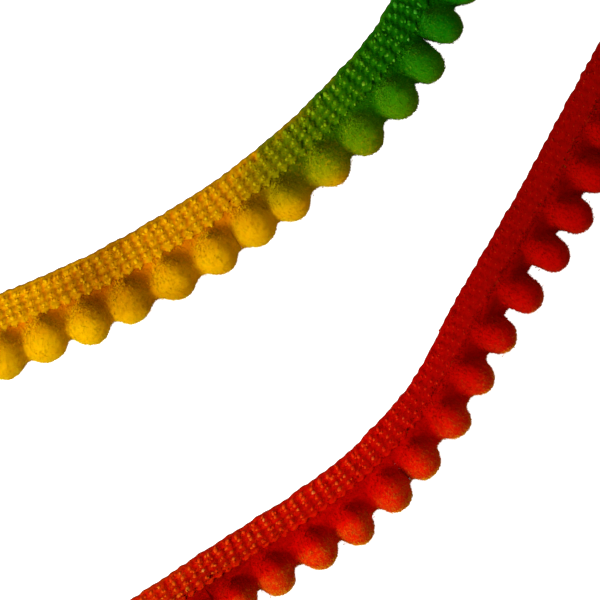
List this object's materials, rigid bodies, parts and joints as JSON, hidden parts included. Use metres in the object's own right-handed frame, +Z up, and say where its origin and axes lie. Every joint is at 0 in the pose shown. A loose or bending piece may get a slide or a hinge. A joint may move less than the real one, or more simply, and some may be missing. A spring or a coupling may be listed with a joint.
{
  "type": "pompom fringe trim",
  "caption": "Narrow ribbed braid with small round pompoms along one edge, dyed in gradual colours, a cut length lying flat in one loose open turn; sewn or glued on as an edging.",
  "frame": {"origin": "on the surface the trim lies on, under the middle of its bounding box", "axes": "+Z is up, away from the surface. +Y is the long way of the loose turn. The two free cut ends are on the +X side of it."},
  "size_m": [0.1485, 0.1669, 0.0057],
  "materials": {
    "braid_yarn": "matte ribbed acrylic yarn, dyed from yellow through green and orange to red",
    "yellow_pile": "soft cut acrylic pile",
    "olive_pile": "soft cut acrylic pile",
    "green_pile": "soft cut acrylic pile",
    "orange_pile": "soft cut acrylic pile",
    "orange_red_pile": "soft cut acrylic pile",
    "red_pile": "soft cut acrylic pile"
  },
  "bodies": {
    "root": {"braid": "braid_yarn", "pompom_row_01": "yellow_pile", "pompom_row_02": "olive_pile", "pompom_row_03": "green_pile", "pompom_row_04": "green_pile", "pompom_row_05": "green_pile", "pompom_row_06": "olive_pile", "pompom_row_07": "yellow_pile", "pompom_row_08": "yellow_pile", "pompom_row_09": "yellow_pile", "pompom_row_10": "orange_pile", "pompom_row_11": "orange_red_pile", "pompom_row_12": "orange_red_pile", "pompom_row_13": "red_pile"}
  },
  "joints": []
}
